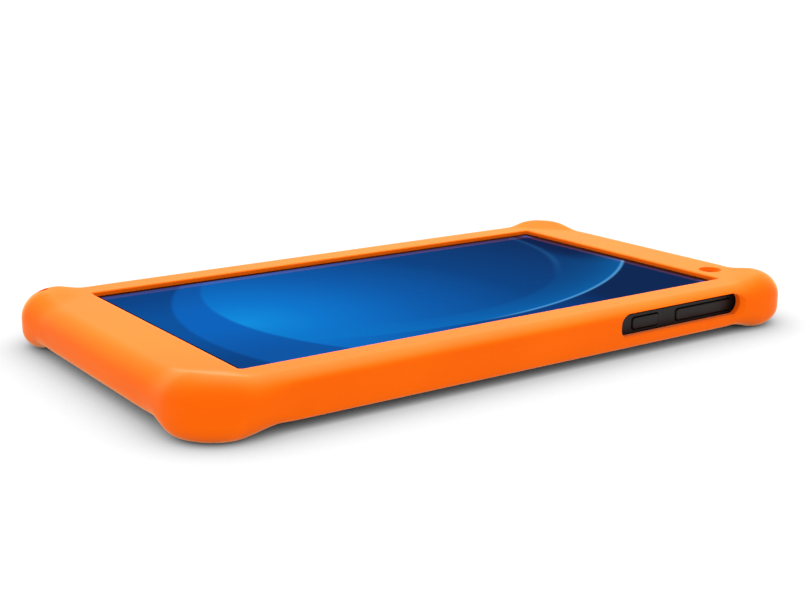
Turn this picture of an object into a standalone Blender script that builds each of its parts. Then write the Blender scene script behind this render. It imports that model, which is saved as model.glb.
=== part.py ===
"""A seven-inch children's tablet in a soft case with raised corners, as separate pieces.

The tablet lies on its back: +X to its right-hand end, where the sockets are, -Y to the long side
that carries the keys, +Z out of the screen.  The origin is in the middle, on the surface that the
case's feet stand on.  Sizes here are in millimetres, and the helpers turn them into Blender's metres.
"""
import math

import bmesh
import bpy
from mathutils import Vector

MM = 0.001
GAP = 0.3                      # air left between two pieces that touch

# Case: a slab with a rounded corner block at each corner
SIDE_X, SIDE_Y = 96.5, 54.5    # half size of the straight sides
SIDE_Z = (2.4, 13.4)
SIDE_CORNER = 12.5
CORNER_X, CORNER_Y = 84.0, 42.4
CORNER_R = 14.0
CORNER_TOP = 15.0
FOOT_ROUND, CROWN_ROUND = 5.2, 5.3
CASE_BACK, CASE_LIP, CASE_WALL = 1.3, 1.0, 3.0
WINDOW_X, WINDOW_Y = 78.5, 43.3

# Tablet inside the case
BODY_X, BODY_Y = SIDE_X - CASE_WALL - GAP, SIDE_Y - CASE_WALL - GAP
BODY_Z = (SIDE_Z[0] + CASE_BACK + GAP, SIDE_Z[1] - CASE_LIP - GAP)
BODY_CORNER = 12.0
SHELL = 1.5                    # wall of the rear cover
FLOOR_TOP = BODY_Z[0] + 1.0
COVER_TOP = 10.6
INNER_X, INNER_Y = BODY_X - SHELL, BODY_Y - SHELL
INNER_CORNER = BODY_CORNER - SHELL

# Screen stack, half sizes
GLASS_X, GLASS_Y, GLASS_Z = 90.4, 48.4, (11.2, BODY_Z[1])
GLASS_CORNER = 9.2
SHELF_Z = (9.6, 10.5)
LCD_X, LCD_Y = 81.0, 46.5

# Circuit board and what stands on it
BOARD_X, BOARD_Y, BOARD_Z = (32.0, 90.0), 46.5, (6.2, 7.0)
PART_Z = BOARD_Z[1] + GAP      # underside of the parts on the board
BATTERY_X, BATTERY_Y, BATTERY_Z = (-66.0, 44.0), 40.0, (5.6, 8.3)
SCREW_SPOTS = ((50.0, -39.5), (86.0, -42.0), (86.0, 42.0), (49.5, 43.0))

# Keys in the front long side
KEY_Z = (6.4, 9.6)
KEY_FACE_Y = -51.6
POWER_X, POWER_HALF = 41.0, 4.9
VOLUME_X, VOLUME_HALF = 63.7, 11.0
FLANGE_Y = (-49.2, -48.7)      # lip that keeps a key inside the wall
VOLUME_ARM = 6.6               # from the rocker's middle to each of its switches
PLUNGER_Z = 7.92
SLOT_X, SLOT_Z = (29.3, 75.2), (5.9, 12.0)
POCKET_X, POCKET_Z = (28.5, 77.0), (5.3, 12.2)   # the slot is wider behind its rim

# Sockets in the right-hand end, camera places
USB_Y, USB_HALF, USB_Z = -10.0, 3.8, (6.45, 9.15)
CARD_Y, CARD_Z = (-1.5, 11.5), (7.3, 8.7)
JACK_Y, JACK_Z, JACK_HALF, JACK_BORE = 20.0, 7.3, 2.05, 1.75
MIC_Y = -25.0
SOCKET_FACE = BODY_X - GAP
FRONT_CAMERA = (84.9, -33.9)
REAR_CAMERA = (76.0, 19.5)
SPEAKER_X, SPEAKER_Y = (-88.0, -76.0), (-14.0, 14.0)
STRAP_HOLE = (-90.6, 50.2)

for old in list(bpy.data.objects):
    bpy.data.objects.remove(old)
MODEL = bpy.data.collections.new("kids_tablet")
CUTTERS = bpy.data.collections.new("cutters")
for group in (MODEL, CUTTERS):
    bpy.context.scene.collection.children.link(group)


# --- materials -------------------------------------------------------------------------------
def material(name, colour, roughness, metallic=0.0):
    made = bpy.data.materials.new(name)
    made.use_nodes = True
    shader = made.node_tree.nodes["Principled BSDF"]
    shader.inputs["Base Color"].default_value = (*colour, 1.0)
    shader.inputs["Roughness"].default_value = roughness
    shader.inputs["Metallic"].default_value = metallic
    return made


SILICONE = material("orange_silicone", (0.95, 0.19, 0.01), 0.55)
BLACK_GLASS = material("black_glass", (0.01, 0.03, 0.09), 0.06)
SCREEN_GLASS = material("screen_glass", (0.01, 0.08, 0.32), 0.10)
BLACK_PLASTIC = material("black_plastic", (0.025, 0.025, 0.027), 0.45)
KEY_PLASTIC = material("key_plastic", (0.035, 0.035, 0.037), 0.38)
CLEAR_ACRYLIC = material("clear_acrylic", (0.85, 0.88, 0.90), 0.15)
FOAM = material("black_foam", (0.03, 0.03, 0.03), 0.95)
STEEL = material("tinned_steel", (0.62, 0.63, 0.65), 0.32, 1.0)
BOARD_GREEN = material("board_green", (0.01, 0.13, 0.05), 0.40)
CHIP_EPOXY = material("chip_epoxy", (0.02, 0.02, 0.022), 0.50)
CONNECTOR_NYLON = material("connector_nylon", (0.78, 0.75, 0.68), 0.50)
AMBER_FILM = material("amber_film", (0.55, 0.22, 0.03), 0.35)
POUCH_FOIL = material("pouch_foil", (0.55, 0.56, 0.58), 0.40, 0.8)
RED_LEAD = material("red_lead", (0.60, 0.02, 0.02), 0.45)
BLACK_LEAD = material("black_lead", (0.02, 0.02, 0.02), 0.45)


# --- helpers ---------------------------------------------------------------------------------
def place(name, mesh, centre, finish):
    """Put a mesh in the scene at centre: a piece if it has a finish, else a cutter."""
    if finish:
        mesh.materials.append(finish)
    mesh.shade_smooth()
    mesh.set_sharp_from_angle(angle=math.radians(35))
    made = bpy.data.objects.new(name, mesh)
    made.location = Vector(centre) * MM
    (MODEL if finish else CUTTERS).objects.link(made)
    if not finish:
        made.hide_render = True
        made.display_type = "WIRE"
    return made


def box(name, x, y, z, finish=None, corner=0.0, along="Z", top=0.0, bottom=0.0, steps=4, rim_steps=2):
    """A box between the given limits, its edges along one axis rounded by corner, and the
    edges round its two ends on that axis by top and bottom."""
    limits = (x, y, z)
    centre = [(low + high) / 2 for low, high in limits]
    size = [high - low for low, high in limits]
    axis = "XYZ".index(along)
    shape = bmesh.new()
    bmesh.ops.create_cube(shape, size=1.0)
    bmesh.ops.scale(shape, vec=Vector(size) * MM, verts=shape.verts)
    if corner:
        lengthwise = [e for e in shape.edges
                      if abs(e.verts[0].co[axis] - e.verts[1].co[axis]) > size[axis] * MM / 2]
        bmesh.ops.bevel(shape, geom=lengthwise, offset=corner * MM, segments=steps,
                        affect="EDGES", profile=0.5, material=-1)
    for side, width in ((1, top), (-1, bottom)):
        if width:
            level = side * size[axis] * MM / 2
            rim = [e for e in shape.edges if all(abs(v.co[axis] - level) < 1e-7 for v in e.verts)]
            bmesh.ops.bevel(shape, geom=rim, offset=width * MM, segments=rim_steps,
                            affect="EDGES", profile=0.5, material=-1)
    mesh = bpy.data.meshes.new(name)
    shape.to_mesh(mesh)
    shape.free()
    return place(name, mesh, centre, finish)


def disc(name, centre, radius, depth, finish=None, along="Z", steps=24, tip=None):
    """A cylinder, or a cone to radius tip, centred at centre and depth long on one axis."""
    shape = bmesh.new()
    bmesh.ops.create_cone(shape, cap_ends=True, segments=steps, radius1=radius * MM,
                          radius2=(radius if tip is None else tip) * MM, depth=depth * MM)
    mesh = bpy.data.meshes.new(name)
    shape.to_mesh(mesh)
    shape.free()
    made = place(name, mesh, centre, finish)
    if along == "X":
        made.rotation_euler = (0, math.radians(90), 0)
    if along == "Y":
        made.rotation_euler = (math.radians(90), 0, 0)
    return made


def turned(name, profile, centre, finish=None, steps=24):
    """A solid of revolution; the profile runs down its outer side from axis to axis."""
    mesh = bpy.data.meshes.new(name)
    points = [(radius * MM, 0.0, height * MM) for radius, height in profile]
    mesh.from_pydata(points, [(i, i + 1) for i in range(len(points) - 1)], [])
    made = place(name, mesh, centre, finish)
    screw = made.modifiers.new("turn", "SCREW")
    screw.steps = screw.render_steps = steps
    screw.use_merge_vertices = True
    screw.merge_threshold = 0.00001
    return made


def arc(centre, radius, start, end, steps):
    """Points on an arc of a profile, angles in degrees from the outward direction."""
    for i in range(steps + 1):
        angle = math.radians(start + (end - start) * i / steps)
        yield centre[0] + radius * math.cos(angle), centre[1] + radius * math.sin(angle)


def combine(target, others, operation):
    for other in others:
        change = target.modifiers.new(other.name, "BOOLEAN")
        change.operation = operation
        change.object = other
    return target


def cut(target, *others):
    return combine(target, others, "DIFFERENCE")


def join(target, *others):
    return combine(target, others, "UNION")


def smooth_path(points, per_span):
    """Points along a Catmull-Rom curve through the given points."""
    knots = [Vector(p) for p in points]
    knots = [2 * knots[0] - knots[1]] + knots + [2 * knots[-1] - knots[-2]]
    path = []
    for a, b, c, d in zip(knots, knots[1:], knots[2:], knots[3:]):
        for i in range(per_span):
            t = i / per_span
            path.append(0.5 * (2 * b + (c - a) * t + (2 * a - 5 * b + 4 * c - d) * t ** 2
                               + (3 * b - a - 3 * c + d) * t ** 3))
    return path + [knots[-2]]


def lead(name, points, diameter, finish):
    """A round wire along a smooth route."""
    curve = bpy.data.curves.new(name, "CURVE")
    curve.dimensions = "3D"
    curve.bevel_depth = diameter / 2 * MM
    curve.bevel_resolution = 2
    curve.use_fill_caps = True
    path = smooth_path(points, 3)
    spline = curve.splines.new("POLY")
    spline.points.add(len(path) - 1)
    for point, where in zip(spline.points, path):
        point.co = (*(where * MM), 1.0)
    curve.materials.append(finish)
    made = bpy.data.objects.new(name, curve)
    MODEL.objects.link(made)
    return made


def ribbon(name, points, width, finish, thickness=0.12, across="Y"):
    """A flat flexible cable: points (sideways, height) in the plane that width crosses."""
    shape = bmesh.new()
    side = 1 if across == "Y" else 0
    row = []
    for sideways, height, _ in smooth_path([(*p, 0.0) for p in points], 3):
        where = [0.0, 0.0, height * MM]
        where[1 - side] = sideways * MM
        where[side] = width[0] * MM
        row.append(shape.verts.new(where))
    edges = [shape.edges.new(pair) for pair in zip(row, row[1:])]
    grown = bmesh.ops.extrude_edge_only(shape, edges=edges)["geom"]
    shift = Vector((0.0, 0.0, 0.0))
    shift[side] = (width[1] - width[0]) * MM
    bmesh.ops.translate(shape, vec=shift, verts=[g for g in grown if isinstance(g, bmesh.types.BMVert)])
    mesh = bpy.data.meshes.new(name)
    shape.to_mesh(mesh)
    shape.free()
    made = place(name, mesh, (0, 0, 0), finish)
    solid = made.modifiers.new("thickness", "SOLIDIFY")
    solid.thickness = thickness * MM
    solid.offset = 0.0
    return made


def around(half_x, half_y, name, z, finish=None, **rounding):
    """A box centred on the tablet."""
    return box(name, (-half_x, half_x), (-half_y, half_y), z, finish, **rounding)


def square(name, centre, half_x, half_y, z, finish=None, **rounding):
    """A box centred on a spot (x, y)."""
    x, y = centre
    return box(name, (x - half_x, x + half_x), (y - half_y, y + half_y), z, finish, **rounding)


def hang(piece, pivot):
    """Parent a moving piece to an empty that stands on its joint's axis."""
    empty = bpy.data.objects.new(piece.name + "_joint", None)
    empty.location = Vector(pivot) * MM
    MODEL.objects.link(empty)
    piece.parent = empty
    piece.location -= empty.location


# --- case ------------------------------------------------------------------------------------
def corner_block(name, sign_x, sign_y):
    """The rounded block that wraps one corner, level with the lip next to the window."""
    foot, crown = CORNER_R - FOOT_ROUND, CORNER_R - CROWN_ROUND
    profile = [(0.0, CORNER_TOP), *arc((crown, CORNER_TOP - CROWN_ROUND), CROWN_ROUND, 90, 0, 4),
               *arc((foot, FOOT_ROUND), FOOT_ROUND, 0, -90, 4), (0.0, 0.0)]
    block = turned(name, profile, (sign_x * CORNER_X, sign_y * CORNER_Y, 0), steps=32)
    level = SIDE_Z[1] - 0.05
    lip = square(name + "_level", (sign_x * CORNER_X, sign_y * CORNER_Y), 20, 20, (level, CORNER_TOP + 1))
    crest = disc(name + "_crest", (sign_x * 92.5, sign_y * 53.5, (level + CORNER_TOP) / 2), 12.6,
                 CORNER_TOP - level + 3, steps=32, tip=7.0)
    return cut(block, cut(lip, crest))


def make_case():
    case = around(SIDE_X, SIDE_Y, "bumper_case", SIDE_Z, SILICONE, corner=SIDE_CORNER, steps=6,
                  top=2.5, bottom=2.5, rim_steps=3)
    for index, (sign_x, sign_y) in enumerate(((-1, -1), (1, -1), (1, 1), (-1, 1))):
        join(case, corner_block(f"corner_block_{index + 1}", sign_x, sign_y))
    room = (SIDE_Z[0] + CASE_BACK, SIDE_Z[1] - CASE_LIP)
    cut(case, around(BODY_X + GAP, BODY_Y + GAP, "case_room", room, corner=BODY_CORNER + GAP, steps=6))
    cut(case, around(WINDOW_X, WINDOW_Y, "case_window", (room[1] - 1, CORNER_TOP + 1), corner=1.0, steps=2))
    cut(case, box("key_slot", SLOT_X, (-58, -50), SLOT_Z, corner=3.0, along="Y"),
        box("key_pocket", POCKET_X, (-52.8, -50), POCKET_Z, corner=3.2, along="Y"))
    cut(case, box("usb_way", (90, 100), (USB_Y - 6.5, USB_Y + 6.5), (4.6, 10.9), corner=2.5, along="X"))
    cut(case, disc("jack_way", (95, JACK_Y, JACK_Z), 3.9, 10, along="X"))
    cut(case, disc("mic_way", (95, MIC_Y, 7.6), 0.9, 10, along="X", steps=10))
    cut(case, disc("front_camera_way", (*FRONT_CAMERA, 13.0), 2.4, 3.0, steps=20, tip=4.0))
    cut(case, disc("rear_camera_way", (*REAR_CAMERA, 3.0), 5.6, 3.0, steps=20, tip=4.2))
    for index in range(4):
        y = SPEAKER_Y[0] + 6.5 + 5.0 * index
        middle = sum(SPEAKER_X) / 2
        cut(case, box(f"sound_way_{index + 1}", (middle - 5, middle + 5), (y - 0.9, y + 0.9), (1, 5),
                      corner=0.8, steps=2))
    cut(case, disc("strap_way", (*STRAP_HOLE, 8.0), 1.6, 20, steps=12))


# --- tablet shells and screen ----------------------------------------------------------------
def make_rear_cover():
    cover = around(BODY_X, BODY_Y, "rear_cover", (BODY_Z[0], COVER_TOP), BLACK_PLASTIC,
                   corner=BODY_CORNER, steps=6, bottom=1.5)
    cut(cover, around(INNER_X, INNER_Y, "cover_room", (FLOOR_TOP, COVER_TOP + 1), corner=INNER_CORNER,
                      steps=6))
    for index, spot in enumerate(SCREW_SPOTS):
        join(cover, disc(f"boss_{index + 1}", (*spot, 5.2), 2.3, 1.4, steps=16))
        cut(cover, disc(f"boss_hole_{index + 1}", (*spot, 5.8), 1.1, 2.4, steps=12))
    low, high = KEY_Z[0] - GAP, KEY_Z[1] + GAP
    for name, middle, half in (("power_way", POWER_X, POWER_HALF), ("volume_way", VOLUME_X, VOLUME_HALF)):
        cut(cover, box(name, (middle - half - GAP, middle + half + GAP), (-52, -49), (low, high),
                       corner=1.0, along="Y", steps=3))
    wall = (INNER_X - 1, BODY_X + 1)
    cut(cover, box("usb_mouth", wall, (USB_Y - USB_HALF - GAP, USB_Y + USB_HALF + GAP),
                   (USB_Z[0] - GAP, USB_Z[1] + GAP), corner=0.8, along="X", steps=2))
    cut(cover, box("card_mouth", wall, (CARD_Y[0] + 0.6, CARD_Y[1] - 0.6), (CARD_Z[0] - 0.1, CARD_Z[1] + 0.1)))
    cut(cover, disc("jack_mouth", (BODY_X - 1, JACK_Y, JACK_Z), 2.5, 5, along="X"))
    cut(cover, disc("mic_mouth", (BODY_X - 1, MIC_Y, 7.6), 0.5, 5, along="X", steps=8))
    cut(cover, disc("rear_lens_way", (*REAR_CAMERA, 4.5), 3.0, 3, steps=20))
    for index in range(4):
        y = SPEAKER_Y[0] + 6.5 + 5.0 * index
        middle = sum(SPEAKER_X) / 2
        cut(cover, box(f"sound_slot_{index + 1}", (middle - 4.4, middle + 4.4), (y - 0.6, y + 0.6), (3, 6)))
    square("speaker_mesh", (sum(SPEAKER_X) / 2, sum(SPEAKER_Y) / 2), 5.4, 10.5, (5.12, 5.24), FOAM)
    disc("rear_camera_lens", (*REAR_CAMERA, 4.45), 2.7, 0.7, BLACK_GLASS, steps=20)


def make_front():
    frame = around(BODY_X, BODY_Y, "front_frame", (COVER_TOP + GAP, BODY_Z[1]), BLACK_PLASTIC,
                   corner=BODY_CORNER, steps=6, top=0.5, rim_steps=1)
    plug = around(INNER_X - GAP, INNER_Y - GAP, "frame_plug", (SHELF_Z[0], COVER_TOP + 2 * GAP),
                  corner=INNER_CORNER - GAP, steps=6)
    join(frame, plug)
    cut(frame, around(GLASS_X + GAP, GLASS_Y + GAP, "glass_seat", (SHELF_Z[1], BODY_Z[1] + 1),
                      corner=GLASS_CORNER + GAP, steps=6))
    cut(frame, around(LCD_X + GAP, LCD_Y + GAP, "lcd_opening", (SHELF_Z[0] - 1, SHELF_Z[1] + 1)))
    camera = square("camera_gap", FRONT_CAMERA, 3.5, 3.5, (9, 11.1))
    flex = box("touch_flex_gap", (87.4, 89.6), (23.8, 31.4), (9, 11.1))
    cut(frame, camera, flex, box("lcd_flex_gap", (52.5, 71.5), (46.0, 49.1), (9, 10.8)))

    around(GLASS_X, GLASS_Y, "front_glass", GLASS_Z, BLACK_GLASS, corner=GLASS_CORNER, steps=6,
           top=0.25, rim_steps=1)
    gasket = around(GLASS_X - 0.4, GLASS_Y - 0.4, "glass_gasket", (10.7, 11.0), FOAM,
                    corner=GLASS_CORNER - 0.4, steps=6)
    cut(gasket, around(82.6, 47.2, "gasket_opening", (10, 12)), camera, flex)


def make_screen():
    around(80.5, 46.0, "lcd_panel", (9.95, 10.95), SCREEN_GLASS)
    box("light_guide", (-78.9, 80.2), (-45.7, 45.7), (9.3, 9.7), CLEAR_ACRYLIC)
    box("led_strip", (-80.2, -79.2), (-44.0, 44.0), (9.3, 9.75), CONNECTOR_NYLON)
    tray = around(LCD_X, LCD_Y, "lcd_tray", (8.85, 9.75), STEEL)
    cut(tray, around(LCD_X - 0.5, LCD_Y - 0.5, "tray_room", (9.05, 10.5)))
    ribbon("lcd_flex", ((46.3, 10.3), (47.4, 10.2), (48.3, 9.4), (48.3, 8.5), (47.2, 7.85), (44.0, 7.75)),
           (53.0, 71.0), AMBER_FILM, across="X")
    ribbon("touch_flex", ((88.5, 11.05), (88.5, 9.4), (87.6, 8.2), (85.0, 7.8), (75.0, 7.75)),
           (24.4, 30.8), AMBER_FILM)


# --- inside ----------------------------------------------------------------------------------
def make_board():
    board = box("main_board", (20.0, BOARD_X[1]), (-BOARD_Y, BOARD_Y), BOARD_Z, BOARD_GREEN, corner=8.0)
    cut(board, box("board_end", (15, BOARD_X[0]), (-50, 50), (5, 8)),
        box("battery_notch", (15, BATTERY_X[1] + 2), (-BATTERY_Y - 1.2, 50), (5.5, 7.5)),
        box("usb_notch", (86.0, 95), (USB_Y - USB_HALF - 0.4, USB_Y + USB_HALF + 0.4), (5, 8)),
        box("jack_notch", (81.6, 95), (JACK_Y - 3.4, JACK_Y + 3.4), (5, 8)),
        square("camera_notch", REAR_CAMERA, 4.0, 4.0, (5, 8)))
    for index, spot in enumerate(SCREW_SPOTS):
        cut(board, disc(f"board_hole_{index + 1}", (*spot, 6.6), 1.2, 3, steps=12))
        make_screw(f"board_screw_{index + 1}", spot)

    square("processor", (62, -14), 7, 7, (PART_Z, PART_Z + 1.1), CHIP_EPOXY, top=0.2, rim_steps=1)
    square("memory_chip", (62, 4), 5.5, 6.5, (PART_Z, PART_Z + 0.9), CHIP_EPOXY, top=0.2, rim_steps=1)
    square("storage_chip", (62, 20), 6, 6.5, (PART_Z, PART_Z + 0.9), CHIP_EPOXY, top=0.2, rim_steps=1)
    square("power_chip", (56, -31), 3, 3, (PART_Z, PART_Z + 0.8), CHIP_EPOXY, top=0.2, rim_steps=1)
    square("wifi_module", (57, 34), 6, 5, (PART_Z, PART_Z + 1.2), STEEL, corner=0.8, top=0.3, rim_steps=1)
    square("battery_connector", (49.2, -20), 2.4, 4, (PART_Z, PART_Z + 1.1), CONNECTOR_NYLON)
    square("lcd_connector", (62, 42.0), 9.5, 1.5, (PART_Z, PART_Z + 0.8), CONNECTOR_NYLON)
    square("touch_connector", (72.6, 27.6), 1.9, 3.6, (PART_Z, PART_Z + 0.8), CONNECTOR_NYLON)
    square("camera_connector", (74, FRONT_CAMERA[1]), 2, 2.5, (PART_Z, PART_Z + 0.7), CONNECTOR_NYLON)
    square("microphone", (88, MIC_Y), 1.8, 1.4, (PART_Z, PART_Z + 1.0), STEEL, corner=0.3)


def make_screw(name, spot):
    """A pan-head screw: a cross recess in the head, its shank in the boss."""
    head = (7.3, 8.0)
    profile = [(0.0, head[1]), (1.1, head[1]), (1.7, head[0] + 0.2), (1.7, head[0]), (0.8, head[0]),
               (0.8, 5.1), (0.5, 4.9), (0.0, 4.9)]
    screw = turned(name, profile, (*spot, 0), STEEL, steps=16)
    for turn, (half_x, half_y) in enumerate(((0.75, 0.16), (0.16, 0.75))):
        cut(screw, square(f"{name}_recess_{turn + 1}", spot, half_x, half_y, (head[1] - 0.35, head[1] + 1)))


def make_battery():
    box("battery", BATTERY_X, (-BATTERY_Y, BATTERY_Y), BATTERY_Z, POUCH_FOIL, corner=2.0, steps=3,
        top=0.6, bottom=0.6)
    box("battery_tape", (BATTERY_X[0] + 8, BATTERY_X[1] - 8), (-BATTERY_Y + 10, BATTERY_Y - 10), (5.2, 5.35), FOAM)
    for name, start, end, finish in (("battery_lead_red", -31.5, 50.2, RED_LEAD),
                                     ("battery_lead_black", -28.9, 48.2, BLACK_LEAD)):
        lead(name, ((44.5, start, 7.5), (46.5, start, 7.8), (end - 0.7, start + 1.6, 8.0),
                    (end, start + 3.2, 7.9), (end, -24.4, 7.85)), 0.9, finish)


def make_sound():
    speaker = box("speaker", SPEAKER_X, SPEAKER_Y, (5.75, 8.35), BLACK_PLASTIC, corner=2.0, top=0.4,
                  rim_steps=1)
    cut(speaker, box("speaker_mouth", (SPEAKER_X[0] + 1.6, SPEAKER_X[1] - 1.6),
                     (SPEAKER_Y[0] + 3.0, SPEAKER_Y[1] - 3.0), (5, 6.4), corner=2.0))
    gasket = box("speaker_gasket", SPEAKER_X, SPEAKER_Y, (5.36, 5.6), FOAM, corner=2.0)
    cut(gasket, box("speaker_gasket_hole", (SPEAKER_X[0] + 1.2, SPEAKER_X[1] - 1.2),
                    (SPEAKER_Y[0] + 1.6, SPEAKER_Y[1] - 1.6), (5, 6), corner=1.4))
    for name, k, finish in (("speaker_lead_red", 0.0, RED_LEAD), ("speaker_lead_black", 1.4, BLACK_LEAD)):
        y = -43.2 - k
        lead(name, ((-75.6, -8.5 - k, 7.0), (-72.5 - k, -10.5 - k, 6.8), (-70.2 - k, -16.0, 6.3),
                    (-69.8 - k, -34.0, 5.9), (-67.2 - k, -40.8 - k, 5.9), (-60.0, y, 5.9),
                    (-20.0, y - 0.4, 5.8), (22.0, y, 5.9), (28.5, y, 7.2), (33.5, y, 7.8)), 0.8, finish)


def make_radio():
    box("wifi_antenna", (16.0, 44.0), (49.15, 49.4), (5.4, 8.2), AMBER_FILM)
    lead("antenna_lead", ((41.0, 48.5, 6.8), (43.5, 47.4, 7.0), (45.6, 44.6, 7.7), (46.6, 41.5, 8.0),
                          (48.5, 39.0, 8.0), (50.6, 36.5, 7.9)), 0.8, BLACK_LEAD)


def make_cameras():
    x, y = FRONT_CAMERA
    front = square("front_camera", FRONT_CAMERA, 3.0, 3.0, (8.3, 10.4), BLACK_PLASTIC)
    barrel = disc("front_barrel", (x, y, 10.4), 2.1, 1.1, steps=16)
    well = disc("front_well", (x, y, 10.95), 1.1, 0.8, steps=12)
    tail = box("front_tail", (72.2, x), (y - 1.5, y + 1.5), (8.3, 8.45))
    cut(join(front, barrel, tail), well)
    x, y = REAR_CAMERA
    rear = square("rear_camera", REAR_CAMERA, 3.5, 3.5, (5.4, 7.35), BLACK_PLASTIC)
    cut(join(rear, box("rear_tail", (69.0, x), (y - 0.5, y + 2.5), (7.2, 7.34))),
        disc("rear_well", (x, y, 5.4), 1.6, 1.2, steps=12))


def make_sockets():
    usb = box("usb_socket", (86.4, SOCKET_FACE), (USB_Y - USB_HALF, USB_Y + USB_HALF), USB_Z, STEEL,
              corner=0.7, along="X", steps=2)
    cut(usb, box("usb_room", (87.0, 95), (USB_Y - USB_HALF + 0.35, USB_Y + USB_HALF - 0.35),
                 (USB_Z[0] + 0.35, USB_Z[1] - 0.35), corner=0.4, along="X", steps=1))
    box("usb_tongue", (87.3, 91.6), (USB_Y - 2.4, USB_Y + 2.4), (7.9, 8.4), BLACK_PLASTIC)
    jack = box("headphone_socket", (82.0, INNER_X - GAP), (JACK_Y - 3.0, JACK_Y + 3.0),
               (JACK_Z - JACK_HALF, JACK_Z + JACK_HALF), BLACK_PLASTIC)
    join(jack, disc("jack_barrel", (SOCKET_FACE - 1.5, JACK_Y, JACK_Z), 2.2, 3.0, along="X"))
    cut(jack, disc("jack_bore", (90.0, JACK_Y, JACK_Z), JACK_BORE, 13.0, along="X"))
    card = box("card_socket", (77.5, 91.3), CARD_Y, CARD_Z, STEEL)
    cut(card, box("card_room", (78.5, 95), (CARD_Y[0] + 1.0, CARD_Y[1] - 1.0), (CARD_Z[0] + 0.25, CARD_Z[1] - 0.25)))


# --- keys ------------------------------------------------------------------------------------
def make_key(name, middle, half, pivot_y):
    key = box(name, (middle - half, middle + half), (KEY_FACE_Y, FLANGE_Y[0] + 0.2), KEY_Z, KEY_PLASTIC,
              corner=0.8, along="Y", bottom=0.3, steps=3)
    join(key, box(name + "_flange", (middle - half - 0.9, middle + half + 0.9), FLANGE_Y,
                  (KEY_Z[0] - 0.8, KEY_Z[1] - 0.3)))
    hang(key, (middle, pivot_y, sum(KEY_Z) / 2))


def make_switch(name, plunger_name, x):
    """A side-push switch: a steel-capped body and the plunger that a key pushes into it."""
    body = box(name, (x - 2.0, x + 2.0), (-47.6, -45.0), (PART_Z - 0.1, PART_Z + 1.35), STEEL)
    cut(body, box(name + "_pocket", (x - 1.1, x + 1.1), (-48, -46.1), (PLUNGER_Z - 0.5, PLUNGER_Z + 0.5)))
    plunger = box(plunger_name, (x - 0.8, x + 0.8), (-48.4, -46.6), (PLUNGER_Z - 0.3, PLUNGER_Z + 0.3),
                  BLACK_PLASTIC)
    hang(plunger, (x, -47.5, PLUNGER_Z))


def make_keys():
    make_key("power_key", POWER_X, POWER_HALF, -49.0)
    make_key("volume_key", VOLUME_X, VOLUME_HALF, -49.0)
    make_switch("power_switch", "power_plunger", POWER_X)
    make_switch("volume_up_switch", "volume_up_plunger", VOLUME_X - VOLUME_ARM)
    make_switch("volume_down_switch", "volume_down_plunger", VOLUME_X + VOLUME_ARM)


def settle(piece):
    """Apply a piece's Booleans, then mark its true edges sharp so that flat faces shade flat."""
    evaluated = piece.evaluated_get(bpy.context.evaluated_depsgraph_get())
    mesh = bpy.data.meshes.new_from_object(evaluated)
    mesh.shade_smooth()
    mesh.set_sharp_from_angle(angle=math.radians(35))
    piece.modifiers.clear()
    piece.data = mesh


make_case()
make_rear_cover()
make_front()
make_screen()
make_board()
make_battery()
make_sound()
make_radio()
make_cameras()
make_sockets()
make_keys()
for made in MODEL.objects:
    if made.type == "MESH":
        settle(made)
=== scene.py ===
# %% [markdown]
# # A play tablet in its silicone case
#
# The object is a small tablet for children. A thick orange case, moulded in soft silicone, is
# stretched over a thin black tablet. Its four corners swell outwards, upwards and downwards, so that
# a fall lands on rubber and the tablet stands on four feet. Two dark keys lie deep in a slot in the
# long side.
#
# The solid parts were designed first, and they are loaded here as they are. Each one knows its place,
# so nothing has to be fitted. What follows gives them their finishes, and makes the case again with a
# finer surface.

# %% Load the parts
import math

import bmesh
import bpy
from mathutils import Matrix, Vector


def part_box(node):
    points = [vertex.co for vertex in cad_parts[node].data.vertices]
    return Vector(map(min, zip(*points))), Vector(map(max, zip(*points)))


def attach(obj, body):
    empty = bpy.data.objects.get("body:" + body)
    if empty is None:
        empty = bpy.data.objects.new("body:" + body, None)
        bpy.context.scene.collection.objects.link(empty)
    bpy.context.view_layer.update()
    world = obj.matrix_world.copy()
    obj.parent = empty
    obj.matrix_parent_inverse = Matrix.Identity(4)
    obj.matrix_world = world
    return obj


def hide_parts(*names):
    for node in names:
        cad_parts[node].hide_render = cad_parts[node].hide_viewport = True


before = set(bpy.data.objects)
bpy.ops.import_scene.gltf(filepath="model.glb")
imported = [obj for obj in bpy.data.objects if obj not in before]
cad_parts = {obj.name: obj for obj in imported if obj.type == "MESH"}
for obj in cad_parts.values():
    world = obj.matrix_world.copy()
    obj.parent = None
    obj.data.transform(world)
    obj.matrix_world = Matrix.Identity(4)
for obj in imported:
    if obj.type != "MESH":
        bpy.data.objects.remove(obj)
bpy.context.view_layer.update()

MM = 0.001
scene = bpy.context.scene

# %% [markdown]
# ## The camera
#
# A product picture like this one is taken low over a corner, so that the case looks long and its
# front edge tall. The camera is placed by what a photographer would say: how far round the object
# it stands, how high, how far away, and what it points at. An aim point and two angles are easier
# to correct than a position and a rotation.

# %% Place the camera
CAMERA_AIM = Vector((5.5, 11.7, 7.4)) * MM
CAMERA_ROUND = math.radians(-35.02)
CAMERA_UP = math.radians(14.0)
CAMERA_TILT = math.radians(0.12)
CAMERA_DISTANCE = 394.4 * MM
SENSOR, LENS = 36.0, 59.6

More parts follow.
